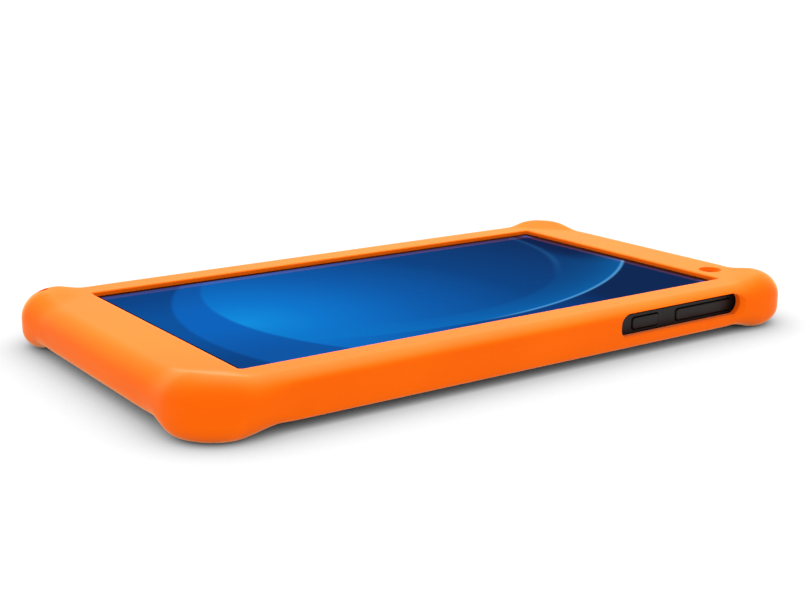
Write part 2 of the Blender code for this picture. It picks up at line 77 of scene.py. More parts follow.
towards_camera = Vector((
    math.sin(CAMERA_ROUND) * math.cos(CAMERA_UP),
    -math.cos(CAMERA_ROUND) * math.cos(CAMERA_UP),
    math.sin(CAMERA_UP),
))
camera = bpy.data.objects.new("camera", bpy.data.cameras.new("camera"))
camera.data.sensor_width = SENSOR
camera.data.lens = LENS
camera.data.clip_start = 10 * MM
camera.location = CAMERA_AIM + CAMERA_DISTANCE * towards_camera
upright = towards_camera.to_track_quat("Z", "Y").to_matrix()
camera.rotation_euler = (upright @ Matrix.Rotation(CAMERA_TILT, 3, "Z")).to_euler()
scene.collection.objects.link(camera)
scene.camera = camera
print("camera at, in mm:", [round(c / MM) for c in camera.location])

# %% [markdown]
# ## Light and floor
#
# The object stands in a white tent: light comes evenly from every side, so the only shadow is the
# soft one where the case keeps the light from the floor; on the floor itself that shadow is painted, as
# below. A world of one bright white gives that even light. The floor is a single sheet, wide enough to reach
# the horizon.
#
# The screen looks deep only if something dark is mirrored in it, so a dark card stands behind the
# object. It is seen by reflections alone, as a photographer would crop it out of the picture.
# A broad soft box hangs above and behind it, for the glow on the upper faces.
#
# The floor's shadow is painted: the floor glows with the share of the tent that each spot can see,
# as an evenly lit white sheet would look, and this painted shadow stays a clean grey instead of filling with
# orange.
#
# The picture is shown without film grading, because the orange is close to the strongest that a
# screen can show, and grading would make it dull.

# %% Set up the tent
TENT_LIGHT = 1.0
FLOOR_HALF, FLOOR_ASIDE = 8.0, 2.0
FLOOR_GLOW = 1.12                     # a little over full white, so that the open floor is clean
SHADOW_REACH, SHADOW_SAMPLES = 0.30, 12
BOX_BEHIND, BOX_HEIGHT, BOX_SIZE, BOX_WATTS = 0.45, 0.70, 0.6, 12.0
CARD_AWAY, CARD_WIDE = 1.6, 3.2
CARD_HEIGHTS = (0.01, 0.85)

world = bpy.data.worlds.new("white_tent")
world.use_nodes = True
world.node_tree.nodes["Background"].inputs["Color"].default_value = (1.0, 1.0, 1.0, 1.0)
world.node_tree.nodes["Background"].inputs["Strength"].default_value = TENT_LIGHT
scene.world = world
scene.view_settings.view_transform = "Standard"


def place_stage(name, shape, colour, roughness):
    """Makes a plain thing that belongs to the studio and not to the object."""
    mesh = bpy.data.meshes.new(name)
    shape.to_mesh(mesh)
    shape.free()
    finish = bpy.data.materials.new(name)
    finish.use_nodes = True
    shader = finish.node_tree.nodes["Principled BSDF"]
    shader.inputs["Base Color"].default_value = (*colour, 1.0)
    shader.inputs["Roughness"].default_value = roughness
    shader.inputs["Specular IOR Level"].default_value = 0.0
    mesh.materials.append(finish)
    thing = bpy.data.objects.new(name, mesh)
    scene.collection.objects.link(thing)
    return thing


sheet = bmesh.new()
bmesh.ops.create_grid(sheet, x_segments=1, y_segments=1, size=FLOOR_HALF)
bmesh.ops.translate(sheet, vec=(FLOOR_ASIDE, 0, 0), verts=sheet.verts)   # its diagonal misses the object
floor = place_stage("floor", sheet, (0.0, 0.0, 0.0), 1.0)
floor_nodes = floor.active_material.node_tree
# painted shadow: the floor glows with the share of the tent each spot sees, from an ambient occlusion node
painted_floor_shadow = floor_nodes.nodes.new("ShaderNodeAmbientOcclusion")
painted_floor_shadow.samples = SHADOW_SAMPLES
painted_floor_shadow.inputs["Distance"].default_value = SHADOW_REACH
floor_nodes.links.new(painted_floor_shadow.outputs["Color"], floor_nodes.nodes["Principled BSDF"].inputs["Emission Color"])
floor_nodes.nodes["Principled BSDF"].inputs["Emission Strength"].default_value = FLOOR_GLOW * TENT_LIGHT

soft_box = bpy.data.objects.new("soft_box", bpy.data.lights.new("soft_box", "AREA"))
soft_box.data.shape = "SQUARE"
soft_box.data.size = BOX_SIZE
soft_box.data.energy = BOX_WATTS
soft_box.location = (-BOX_BEHIND * math.sin(CAMERA_ROUND), BOX_BEHIND * math.cos(CAMERA_ROUND), BOX_HEIGHT)
soft_box.rotation_euler = soft_box.location.to_track_quat("Z", "Y").to_euler()
scene.collection.objects.link(soft_box)

card = bmesh.new()
bmesh.ops.create_grid(card, x_segments=1, y_segments=1, size=0.5)
bmesh.ops.scale(card, vec=(CARD_WIDE, CARD_HEIGHTS[1] - CARD_HEIGHTS[0], 1.0), verts=card.verts)
bmesh.ops.rotate(card, cent=(0, 0, 0), matrix=Matrix.Rotation(math.pi / 2, 3, "X"), verts=card.verts)
bmesh.ops.translate(card, vec=(0, CARD_AWAY, sum(CARD_HEIGHTS) / 2), verts=card.verts)
bmesh.ops.rotate(card, cent=(0, 0, 0), matrix=Matrix.Rotation(CAMERA_ROUND, 3, "Z"), verts=card.verts)
dark_card = place_stage("dark_card", card, (0.002, 0.002, 0.003), 1.0)
dark_card.visible_camera = False
dark_card.visible_diffuse = False
dark_card.visible_shadow = False
print("tent light", TENT_LIGHT, " floor", 2 * FLOOR_HALF, "m wide")

# %% [markdown]
# ## Writing a finish as arithmetic
#
# Shader nodes are a graph, and a graph is hard to read in a script. `Wire` stands for the output of
# a node and answers to +, -, * and /, so a mask can be written as a formula. `Finish` is a material
# being built: its `node` method adds any other node.

# %% Helpers for finishes
def paint(red, green, blue):
    """The light values of a colour given as it is on a screen, from 0 to 255."""
    levels = [value / 255 for value in (red, green, blue)]
    linear = [v / 12.92 if v < 0.04 else ((v + 0.055) / 1.055) ** 2.4 for v in levels]
    return (*linear, 1.0)


class Wire:
    """One output of a shader node, which can be used in sums."""

    def __init__(self, finish, socket):
        self.finish = finish
        self.socket = socket

    def __add__(self, other):
        return self.finish.maths("ADD", self, other)

    def __sub__(self, other):
        return self.finish.maths("SUBTRACT", self, other)

    def __mul__(self, other):
        return self.finish.maths("MULTIPLY", self, other)

    def __truediv__(self, other):
        return self.finish.maths("DIVIDE", self, other)

    def __rsub__(self, other):
        return self.finish.maths("SUBTRACT", other, self)

    def __abs__(self):
        return self.finish.maths("ABSOLUTE", self)

    __radd__ = __add__
    __rmul__ = __mul__


class Finish:
    """A material being built round a Principled shader."""

    def __init__(self, name, **constants):
        self.material = bpy.data.materials.new(name)
        self.material.use_nodes = True
        self.tree = self.material.node_tree
        self.shader = self.tree.nodes["Principled BSDF"]
        self.place = self.node("ShaderNodeTexCoord", {}, {}, out="Object")
        self.feed(**constants)

    def node(self, kind, settings, sockets, out=0):
        """Adds a node, with its settings first, and gives one of its outputs as a Wire."""
        made = self.tree.nodes.new(kind)
        for name, value in settings.items():
            if name == "stops":
                ramp = made.color_ramp
                ramp.elements[0].position, ramp.elements[-1].position = value[0][0], value[-1][0]
                for where, _ in value[1:-1]:
                    ramp.elements.new(where)
                for element, (_, colour) in zip(ramp.elements, value):
                    element.color = colour
            else:
                setattr(made, name, value)
        for name, value in sockets.items():
            self.join(made.inputs[name], value)
        return Wire(self, made.outputs[out])

    def join(self, socket, value):
        """Links a Wire to a socket, or sets the socket to a plain value."""
        if isinstance(value, Wire):
            self.tree.links.new(value.socket, socket)
        else:
            socket.default_value = value

    def feed(self, **sockets):
        """Sets or links sockets of the shader, Base_Color meaning Base Color."""
        for name, value in sockets.items():
            self.join(self.shader.inputs[name.replace("_", " ")], value)

    def maths(self, operation, *values):
        """A sum of one kind, from Wires or plain numbers."""
        return self.node("ShaderNodeMath", {"operation": operation}, dict(enumerate(values)))

    def mix(self, share, first, second):
        """A colour between two others."""
        return self.node("ShaderNodeMix", {"data_type": "RGBA"}, {0: share, 6: first, 7: second}, out=2)

    def rise(self, value, start, end):
        """0 below start and 1 above end, with a soft S between."""
        return self.node("ShaderNodeMapRange", {"interpolation_type": "SMOOTHSTEP"},
                         {"Value": value, "From Min": start, "From Max": end})

    def noise(self, size, detail=2.0):
        """Cloudy variation with patches of the given size, from 0 to 1."""
        return self.node("ShaderNodeTexNoise", {},
                         {"Vector": self.place, "Scale": 1 / size, "Detail": detail})

    def bump(self, height, depth):
        """A surface that rises and falls by depth as height goes from 0 to 1."""
        return self.node("ShaderNodeBump", {}, {"Height": height, "Distance": depth, "Strength": 1.0})

    def axis(self, letter):
        """One coordinate of the surface in mm: X, Y or Z."""
        return self.node("ShaderNodeSeparateXYZ", {}, {"Vector": self.place}, out=letter) / MM


print("finish helpers ready")

# %% [markdown]
# ## Soft-touch silicone
#
# Silicone rubber is coloured right through, and comes out of a sand-blasted mould with a fine satin
# grain. It looks deep orange where it is seen straight on, and pale and powdery where it is seen
# edge on. That powdery edge is what the sheen of the Principled shader is for, so its weight and tint
# do most of the work. Slow changes in roughness stand for handling, and a fine noise for the grain.

# %% The case's finish
GRAIN, GRAIN_DEPTH = 0.22 * MM, 0.012 * MM
HANDLED_PATCH, POWDER_PATCH = 34 * MM, 3.5 * MM
DEEP_ORANGE, BRIGHT_ORANGE = (0.96, 0.130, 0.0008, 1.0), (0.99, 0.142, 0.0012, 1.0)
silicone = Finish("soft_touch_silicone", Specular_IOR_Level=0.04, IOR=1.41, Sheen_Weight=1.0,
                  Sheen_Roughness=0.27, Sheen_Tint=(1.0, 0.70, 0.36, 1.0))
handling = silicone.noise(HANDLED_PATCH, detail=3.0)
powder = silicone.noise(POWDER_PATCH)
silicone.feed(
    Base_Color=silicone.mix(silicone.rise(handling, 0.3, 0.7), DEEP_ORANGE, BRIGHT_ORANGE),
    Roughness=0.50 + 0.07 * handling + 0.06 * powder,
    Normal=silicone.bump(silicone.noise(GRAIN), GRAIN_DEPTH),
)
print("silicone grain, mm:", GRAIN / MM)

# %% [markdown]
# ## The plan of the case
#
# Seen from above, the case is a rectangle whose corners are round and stand out a little from its
# straight sides. Everything else in it follows the same path: the window over the screen, the hollow
# that holds the tablet, and the roundings. So the path is described once, by stations: each one has
# a place along the sides and a direction that points outwards. Any rounded rectangle can then be
# read from the stations, and all of them have the same number of points, ready to be joined.
#
# Stations stand close together where a corner swells, and far apart along a plain side.

# %% Sizes of the plan
CORNER_R = 14.0 * MM
SWELL = 15.0 * MM                          # length of side over which a corner grows
END_BACK, LONG_BACK = 0.6 * MM, 1.6 * MM   # how far the sides stand back from the corners
ARC_STEPS, SWELL_STEPS, SIDE_STEP = 24, 10, 9.0 * MM

_, case_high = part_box("bumper_case")
corner = Vector((case_high.x - CORNER_R, case_high.y - CORNER_R))


def ease(value, start, end):
    """0 before start, 1 after end, with a soft S between."""
    share = min(max((value - start) / (end - start), 0.0), 1.0)
    return share * share * (3 - 2 * share)


def stops(length):
    """Distances from a corner to the middle of a side, close together while the corner swells."""
    plain = max(1, round((length - SWELL) / SIDE_STEP))
    near = [SWELL * i / SWELL_STEPS for i in range(1, SWELL_STEPS)]
    return near + [SWELL + (length - SWELL) * i / plain for i in range(plain + 1)]


print("stations on half an end:", len(stops(corner.y)), " on half a long side:", len(stops(corner.x)))

# %% [markdown]
# A station knows how much the corner swells where it stands, and how far the side stands back there.
# Only a quarter of the path is worked out. The rest is that quarter seen in two mirrors, because the
# case is the same at all four corners.

# %% Stations round the case
class Station:
    """A place on the path round the case: along the sides, and which way is out."""

    def __init__(self, along, out, away, back, long_side):
        self.along, self.out = along, out
        self.swell = 1 - ease(away, 0, SWELL)
        self.back = back * (1 - self.swell)
        self.long_side = long_side

    def mirrored(self, x, y):
        """The same station in a mirror: -1 turns an axis round and 1 leaves it."""
        twin = Station.__new__(Station)
        twin.__dict__.update(self.__dict__)
        twin.along = Vector((self.along.x * x, self.along.y * y))
        twin.out = Vector((self.out.x * x, self.out.y * y))
        return twin

    def on(self, half_x, half_y, radius):
        """This station's point on a rounded rectangle."""
        middle = Vector((self.along.x * (half_x - radius), self.along.y * (half_y - radius)))
        return middle + radius * self.out


def quarter():
    """Stations from the middle of the right end to the middle of the far long side."""
    made = [Station(Vector((1, 1 - d / corner.y)), Vector((1, 0)), d, END_BACK, 0.0)
            for d in reversed(stops(corner.y))]
    for i in range(ARC_STEPS + 1):
        angle = math.pi / 2 * i / ARC_STEPS
        out = Vector((math.cos(angle), math.sin(angle)))
        made.append(Station(Vector((1, 1)), out, 0, 0, i / ARC_STEPS))
    made += [Station(Vector((1 - d / corner.x, 1)), Vector((0, 1)), d, LONG_BACK, 1.0)
             for d in stops(corner.x)]
    return made


first = quarter()
stations = (first
            + [s.mirrored(-1, 1) for s in reversed(first[:-1])]
            + [s.mirrored(-1, -1) for s in first[1:]]
            + [s.mirrored(1, -1) for s in reversed(first[1:-1])])
print("stations round the case:", len(stations))

# %% [markdown]
# ## One slice of the case
#
# Cut the case across its wall, and the slice starts on the floor of the hollow, climbs the wall,
# turns in under the lip, comes out through the window, crosses the flat top, rolls over the edge,
# runs down the side and rolls under to the back. Two height maps shape the corners: the crest, a soft
# mound on the top, and the foot, the same underneath. They depend only on the place in plan, so the
# surface runs smoothly through them.

# %% Crests and feet
LIP_TOP, BACK_Z = 13.4 * MM, 2.4 * MM
CREST_FULL, CREST_END = 12.0 * MM, 21.5 * MM   # from the outermost corner, in plan
FLARE, FLARE_WIDE = 0.66, 12.0 * MM            # the crest runs further along the rim of an end
FOOT_SPOT, FOOT_FULL, FOOT_END = Vector((91, 49)) * MM, 6.0 * MM, 18.5 * MM
FOOT_STRETCH = 1.25                            # a foot is longer along the long side than along an end


def crest(point):
    """Height of the soft mound on a corner."""
    from_end, from_side = case_high.x - abs(point.x), case_high.y - abs(point.y)
    squeeze = FLARE + (1 - FLARE) * ease(from_end, 0, FLARE_WIDE)
    from_corner = math.hypot(from_end, from_side * squeeze)
    return (case_high.z - LIP_TOP) * (1 - ease(from_corner, CREST_FULL, CREST_END))


def foot(point):
    """Depth of the foot under a corner."""
    away = Vector((abs(point.x), abs(point.y))) - FOOT_SPOT
    return BACK_Z * (1 - ease(math.hypot(away.x, away.y * FOOT_STRETCH), FOOT_FULL, FOOT_END))


print("crest, mm:", round((case_high.z - LIP_TOP) / MM, 1), " foot, mm:", BACK_Z / MM)

# %% [markdown]
# The edges are rolled over by a quarter of an ellipse, because a moulded edge reaches further in than
# it drops. It is broad at the corners and tight along the long sides, where the flat top also turns a
# little at the line where the roll begins, as a light crease. So each size is given for an end, for a
# long side, and for the corner beside each of them.

# %% Rolled edges
# Sizes of a rounding on the end, on the long side, and in the corner next to each of them
TOP_IN = [r * MM for r in (6.0, 4.4, 7.4, 6.0)]
TOP_DOWN = [r * MM for r in (5.2, 2.5, 6.8, 6.0)]
BASE_IN = [r * MM for r in (3.6, 1.7, 5.6, 5.8)]
BASE_UP = [r * MM for r in (3.6, 1.6, 5.2, 5.4)]
CREASE = [math.radians(a) for a in (3, 13, 3, 3)]     # how sharply the top turns where its edge begins
ROUND_STEPS = 9


def local(station, sizes):
    """The size that holds here, from the sizes for an end, a long side and the corner beside each."""
    end, long_side, corner_end, corner_long = sizes
    plain = end + (long_side - end) * station.long_side
    swollen = corner_end + (corner_long - corner_end) * station.long_side
    return plain + (swollen - plain) * station.swell


def roll(station, edge, reach, drop, height, way, crease=0.0):
    """A rounded edge from flat to upright: way is -1 over the top edge and 1 over the bottom one."""
    path = []
    for i in range(ROUND_STEPS + 1):
        angle = crease + (math.pi / 2 - crease) * i / ROUND_STEPS
        inward = reach * (1 - math.sin(angle)) / (1 - math.sin(crease))
        fall = drop * (math.cos(crease) - math.cos(angle)) / math.cos(crease)
        path.append((edge - station.out * inward, height + way * fall))
    return path


print("top edge reaches in, mm:", [round(r / MM, 1) for r in TOP_IN])

# %% [markdown]
# Now one slice can be written down from the floor of the hollow round to the middle of the back.

# %% One slice
HOLLOW_Z, LIP_UNDER = 3.7 * MM, 12.15 * MM
WINDOW, WINDOW_R = (78.5 * MM, 43.3 * MM), 1.0 * MM
HOLLOW, HOLLOW_R = (93.5 * MM, 51.5 * MM), 12.3 * MM
PATCH, PATCH_R = (62 * MM, 20 * MM), 6.0 * MM       # flat middle of the floor and of the back
LIP_ROUND = 0.45 * MM
FLAT_STEPS, SIDE_RINGS, BACK_STEPS = 14, 4, 8


def slice_of(station):
    """The points of one slice, as places in plan and heights."""
    hollow = station.on(*HOLLOW, HOLLOW_R)
    patch = station.on(*PATCH, PATCH_R)
    window = station.on(*WINDOW, WINDOW_R)
    edge = station.on(case_high.x, case_high.y, CORNER_R) - station.out * station.back
    shoulder = edge - station.out * local(station, TOP_IN)
    under = edge - station.out * local(station, BASE_IN)

    path = [(patch, HOLLOW_Z), (hollow, HOLLOW_Z), (hollow, (HOLLOW_Z + LIP_UNDER) / 2),
            (hollow, LIP_UNDER), (window, LIP_UNDER), (window, LIP_TOP - LIP_ROUND)]
    for angle in (math.pi / 6, math.pi / 3):
        path.append((window + station.out * LIP_ROUND * (1 - math.cos(angle)),
                     LIP_TOP - LIP_ROUND * (1 - math.sin(angle))))
    rim = window + station.out * LIP_ROUND
    for i in range(FLAT_STEPS):
        point = rim.lerp(shoulder, i / FLAT_STEPS)
        path.append((point, LIP_TOP + crest(point)))
    top = roll(station, edge, local(station, TOP_IN), local(station, TOP_DOWN),
               LIP_TOP + crest(shoulder), -1, local(station, CREASE))
    base = roll(station, edge, local(station, BASE_IN), local(station, BASE_UP),
                BACK_Z - foot(under), 1)
    path += top
    for i in range(1, SIDE_RINGS):
        share = i / SIDE_RINGS
        path.append((edge, top[-1][1] + (base[-1][1] - top[-1][1]) * share))
    path += reversed(base)
    for i in range(1, BACK_STEPS + 1):
        point = under.lerp(patch, i / BACK_STEPS)
        path.append((point, BACK_Z - foot(point)))
    return path


slices = [slice_of(s) for s in stations]
print("points in a slice:", len(slices[0]))

# %% [markdown]
# ## Moulding the case
#
# The skin starts as a filled circle with one point for each station, which becomes the middle of the
# hollow's floor. Its border is extruded once for each step of the slice, and each new ring is moved
# into place. The last ring is closed by one face, in the middle of the back. This gives long, even
# rows of quads that follow the shape, which smooth shading needs.

# %% Extrude the skin
skin = bmesh.new()
number = skin.verts.layers.int.new("station")
bmesh.ops.create_circle(skin, segments=len(stations), radius=1.0, cap_ends=True)
for index, vert in enumerate(skin.verts):
    vert[number] = index
border = list(skin.edges)
for step in range(len(slices[0])):
    if step:
        grown = bmesh.ops.extrude_edge_only(skin, edges=border)["geom"]
        ring = {g for g in grown if isinstance(g, bmesh.types.BMVert)}
        border = [g for g in grown if isinstance(g, bmesh.types.BMEdge) and set(g.verts) <= ring]
    else:
        ring = set(skin.verts)
    for vert in ring:
        plan, height = slices[vert[number]][step]
        vert.co = (plan.x, plan.y, height)
bmesh.ops.contextual_create(skin, geom=border)
bmesh.ops.recalc_face_normals(skin, faces=skin.faces)
print("skin:", len(skin.faces), "faces, closed:", all(e.is_manifold for e in skin.edges))

# %% [markdown]
# ## Openings
#
# The mould leaves openings for the keys, the sockets, the cameras and the speaker. Each is cut with a
# solid of its own by a Boolean. The solids are made as primitives, with their own corners bevelled,
# and are thrown away once they have cut. A mouth in rubber never has a knife edge, so the block that
# cuts the long slot widens as it leaves the case, and the camera's cutter is a cone.

# %% Cutting tools
SAME_PLACE = 0.01                     # in mm, for finding the points on a face


def solid(name, shape):
    """A scratch object for cutting."""
    mesh = bpy.data.meshes.new(name)
    shape.to_mesh(mesh)
    shape.free()
    made = bpy.data.objects.new(name, mesh)
    scene.collection.objects.link(made)
    return made


def block(name, x, y, z, corners, along, steps=6, flare=None):
    """A block in mm whose edges along an axis are rounded, each corner by its own radius.

    Where flare is given, the block widens at 45 degrees beyond that y, towards the outside.
    """
    centre = Vector([sum(limits) / 2 for limits in (x, y, z)])
    size = Vector([limits[1] - limits[0] for limits in (x, y, z)])
    shape = bmesh.new()
    bmesh.ops.create_cube(shape, size=1.0)
    bmesh.ops.scale(shape, vec=size * MM, verts=shape.verts)
    axis = "XYZ".index(along)
    first_axis, second_axis = [a for a in range(3) if a != axis]
    for (first_sign, second_sign), radius in corners.items():
        edges = [e for e in shape.edges
                 if all(v.co[first_axis] * first_sign > 0 and v.co[second_axis] * second_sign > 0
                        for v in e.verts)
                 and abs(e.verts[0].co[axis] - e.verts[1].co[axis]) > size[axis] * MM / 2]
        edges = [max(edges, key=lambda e: abs(e.verts[0].co[first_axis]) + abs(e.verts[0].co[second_axis]))]
        bmesh.ops.bevel(shape, geom=edges, offset=radius * MM, segments=steps, affect="EDGES", profile=0.5,
                        material=-1, clamp_overlap=False)
    bmesh.ops.translate(shape, vec=centre * MM, verts=shape.verts)
    if flare is not None:
        bmesh.ops.bisect_plane(shape, geom=[*shape.verts, *shape.edges, *shape.faces],
                               plane_co=(0, flare * MM, 0), plane_no=(0, 1, 0))
        reach = flare - y[0]
        bmesh.ops.scale(shape, vec=(1 + 2 * reach / size.x, 1, 1 + 2 * reach / size.z),
                        space=Matrix.Translation(-centre * MM),
                        verts=[v for v in shape.verts if v.co.y < (y[0] + SAME_PLACE) * MM])
    return solid(name, shape)


def plug(name, centre, radius, depth, along="Z", steps=40, tip=None):
    """A round plug in mm, as a cone where its tip has another radius."""
    shape = bmesh.new()
    bmesh.ops.create_cone(shape, cap_ends=True, segments=steps, radius1=radius * MM,
                          radius2=(radius if tip is None else tip) * MM, depth=depth * MM)
    if along == "X":
        bmesh.ops.rotate(shape, cent=(0, 0, 0), matrix=Matrix.Rotation(math.pi / 2, 3, "Y"),
                         verts=shape.verts)
    bmesh.ops.translate(shape, vec=Vector(centre) * MM, verts=shape.verts)
    return solid(name, shape)


print("cutting tools ready")

# %% [markdown]
# The long slot opens into a wider pocket behind the wall, so that the keys have room to move. The two
# socket openings are larger than the sockets, because the grips of the plugs have to go in as well.

# %% Cut the openings
ALL_ROUND = [(-1, -1), (1, -1), (1, 1), (-1, 1)]
openings = [
    block("key_slot", (29.3, 75.2), (-58, -50), (5.9, 12.0),
          {(-1, -1): 1.8, (-1, 1): 3.0, (1, -1): 3.0, (1, 1): 3.0}, "Y", steps=10, flare=-54.4),
    block("key_pocket", (28.5, 77.0), (-52.8, -50), (5.3, 12.2),
          {c: 3.2 for c in ALL_ROUND}, "Y", steps=10),
    block("usb_way", (90, 100), (-16.5, -3.5), (4.6, 10.9),
          {c: 2.5 for c in ALL_ROUND}, "X", steps=8),
    plug("jack_way", (95, 20, 7.3), 3.9, 10, along="X"),
    plug("mic_way", (95, -25, 7.6), 0.9, 10, along="X", steps=20),
    plug("front_camera_way", (84.9, -33.9, 13.0), 2.4, 3.0, tip=4.0),
    plug("rear_camera_way", (76.0, 19.5, 3.0), 5.6, 3.0, tip=4.2, steps=56),
    plug("strap_way", (-90.2, 49.3, 8.0), 1.8, 20, steps=28),
]
openings += [block(f"sound_way_{i + 1}", (-87, -77), (y - 0.9, y + 0.9), (1, 5),
                   {c: 0.85 for c in ALL_ROUND}, "Z", steps=5)
             for i, y in enumerate((-7.5, -2.5, 2.5, 7.5))]

case = solid("case_blank", skin)
for opening in openings:
    cut = case.modifiers.new(opening.name, "BOOLEAN")
    cut.operation = "DIFFERENCE"
    cut.solver = "EXACT"
    cut.object = opening
moulded = bpy.data.meshes.new_from_object(case.evaluated_get(bpy.context.evaluated_depsgraph_get()))
for scratch in [case, *openings]:
    bpy.data.objects.remove(scratch)
print("openings cut:", len(openings), " faces:", len(moulded.polygons))

# %% [markdown]
# The moulded skin is now the finished case. It rides on the tablet's body and stands for the plain
# case that was loaded, which stays hidden for collisions.

# %% Put the case on the tablet
SHARP_ANGLE = math.radians(38)        # the mouths of the openings stay crisp, and the rolls smooth


def add_piece(shape, name, body, nodes, finish):
    """Makes a mesh the final piece: it rides on a body and stands for parts that are then hidden."""
    mesh = bpy.data.meshes.new(name)
    shape.to_mesh(mesh)
    shape.free()
    mesh.shade_smooth()
    mesh.set_sharp_from_angle(angle=SHARP_ANGLE)
    mesh.materials.append(finish.material)
    piece = bpy.data.objects.new(name, mesh)
    scene.collection.objects.link(piece)
    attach(piece, body)
    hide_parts(*nodes)
    return piece


case_shape = bmesh.new()
case_shape.from_mesh(moulded)
bpy.data.meshes.remove(moulded)
case_shape.normal_update()
silicone_case = add_piece(case_shape, "silicone_case", "tablet", ["bumper_case"], silicone)
print("case faces:", len(silicone_case.data.polygons))

# %% [markdown]
# ## The lit screen
#
# The glass is black round its edge and clear over the display. The lit picture is painted in the
# glass itself, so that it stays where it belongs at any angle of view. It is a wallpaper of blue arcs:
# a glow on the left, a disc with a crescent behind it, and a band under a thin bright rim that
# sweeps up to the right. All of these are circles, so each is written as a distance in millimetres
# from its centre.

# %% Circles on the glass
glass = Finish("lit_glass", Base_Color=(0.002, 0.002, 0.003, 1.0), Specular_IOR_Level=0.01,
               Emission_Strength=1.0)
x, y = glass.axis("X"), glass.axis("Y")


def away(centre_x, centre_y):
    """Distance from a centre on the glass, in mm."""
    across, up = x - centre_x, y - centre_y
    return glass.maths("SQRT", across * across + up * up)


def within(value, limit, soft):
    """1 below a limit and 0 above it."""
    return 1 - glass.rise(value, limit - soft, limit + soft)


print("the glass is ready to paint")

# %% [markdown]
# The disc comes first: its glow fades from the left, a band of light lies inside the rim, and the
# night beyond the rim is dark. A fainter arc marks where the band weakens on its inner side, and the
# right-hand end falls into dusk.

# %% Paint the disc
GLOW = [(0, (8, 142, 223)), (20, (2, 118, 206)), (50, (2, 90, 172)), (85, (1, 64, 130)),
        (140, (4, 42, 92))]           # distance from the middle of the glow in mm, and colour
GLOW_END = GLOW[-1][0]
GLOW_AT = (-58, -5)
RIM_AT, RIM_R = (-4.4, 80.2), 117.9
ARC_AT, ARC_R = (-5, 46), 75

glow = glass.node("ShaderNodeValToRGB", {"stops": [(d / GLOW_END, paint(*colour)) for d, colour in GLOW]},
                  {"Fac": away(*GLOW_AT) / GLOW_END}, out="Color")
from_rim = RIM_R - away(*RIM_AT)
from_arc = away(*ARC_AT) - ARC_R
band = glass.maths("EXPONENT", from_rim * -0.1) * (1 - 0.7 * within(from_arc, 0, 1.2)) * 0.5
disc = glass.mix(band * glass.rise(from_rim, -0.5, 0.5), glow, paint(0, 120, 200))
night = glass.mix(glass.rise(x, 20, 45), paint(1, 58, 123), paint(3, 36, 82))
disc = glass.mix(within(from_rim, 0, 0.5) * glass.rise(x, -30, 15), disc, night)
rim_line = within(abs(from_rim), 0.4, 0.5) * glass.rise(x, -8, 16)
disc = glass.mix(rim_line * 0.7, disc, paint(95, 180, 245))
arc_line = within(abs(from_arc), 1.0, 1.0) * glass.rise(y, -15, 10)
disc = glass.mix(arc_line * 0.12, disc, paint(60, 150, 225))
dusk = glass.rise(from_arc, -1, 2) * glass.rise(x, 61, 71) * glass.rise(y, -6, 14)
disc = glass.mix(dusk * 0.8, disc, paint(4, 24, 68))
print("glow ends at, mm:", GLOW_END)

# %% [markdown]
# Behind the disc shows the crescent, and beyond that the plain ground. A mask of the lit area ends the
# picture, and leaves the black border of the glass. Faint smudges change only the roughness.

# %% Paint the rest of the wallpaper
LIT_X, LIT_Y = 76.4, 41.5
DISC_AT, DISC_R = (14.3, -0.1), 72.5
CRESCENT_AT, CRESCENT_R = (16, -14), 88

crescent = glass.mix(glass.rise(abs(y - 3), 5, 38), paint(2, 98, 188), paint(3, 84, 164))
beyond = glass.mix(glass.rise(abs(y), 5, 40), paint(1, 80, 157), paint(1, 64, 132))
behind = glass.mix(within(away(*CRESCENT_AT), CRESCENT_R, 0.8), beyond, crescent)
picture = glass.mix(within(away(*DISC_AT), DISC_R, 0.8), behind, disc)
lit = within(abs(x), LIT_X, 0.15) * within(abs(y), LIT_Y, 0.15)
smudges = glass.noise(18 * MM, detail=3.0)
glass.feed(Emission_Color=glass.mix(lit, (0.0, 0.0, 0.0, 1.0), picture), Roughness=0.03 + 0.05 * smudges)
print("lit area, mm:", 2 * LIT_X, "x", 2 * LIT_Y)

# %% [markdown]
# ## The other finishes
#
# Every other part keeps its shape and gets the finish of what it is made of. Most are plain stuffs
# whose colour and roughness drift a little, with a fine grain: `stuff` makes those. The ones with
# something to tell are built on top: a circuit board has tracks, foil has creases, film has copper
# lines, and a mesh has holes.

# %% Finishes by kind of stuff
def stuff(name, dark, light, roughness, patch=6.0, grain=0.25, depth=0.006, **constants):
    """A finish that drifts between two colours, with a grain; patch, grain and depth are in mm."""
    finish = Finish(name, **constants)
    drift = finish.noise(patch * MM, detail=3.0)
    finish.colour = finish.mix(finish.rise(drift, 0.3, 0.7), (*dark, 1.0), (*light, 1.0))
    finish.feed(Base_Color=finish.colour, Roughness=roughness + 0.08 * drift,
                Normal=finish.bump(finish.noise(grain * MM), depth * MM))
    return finish


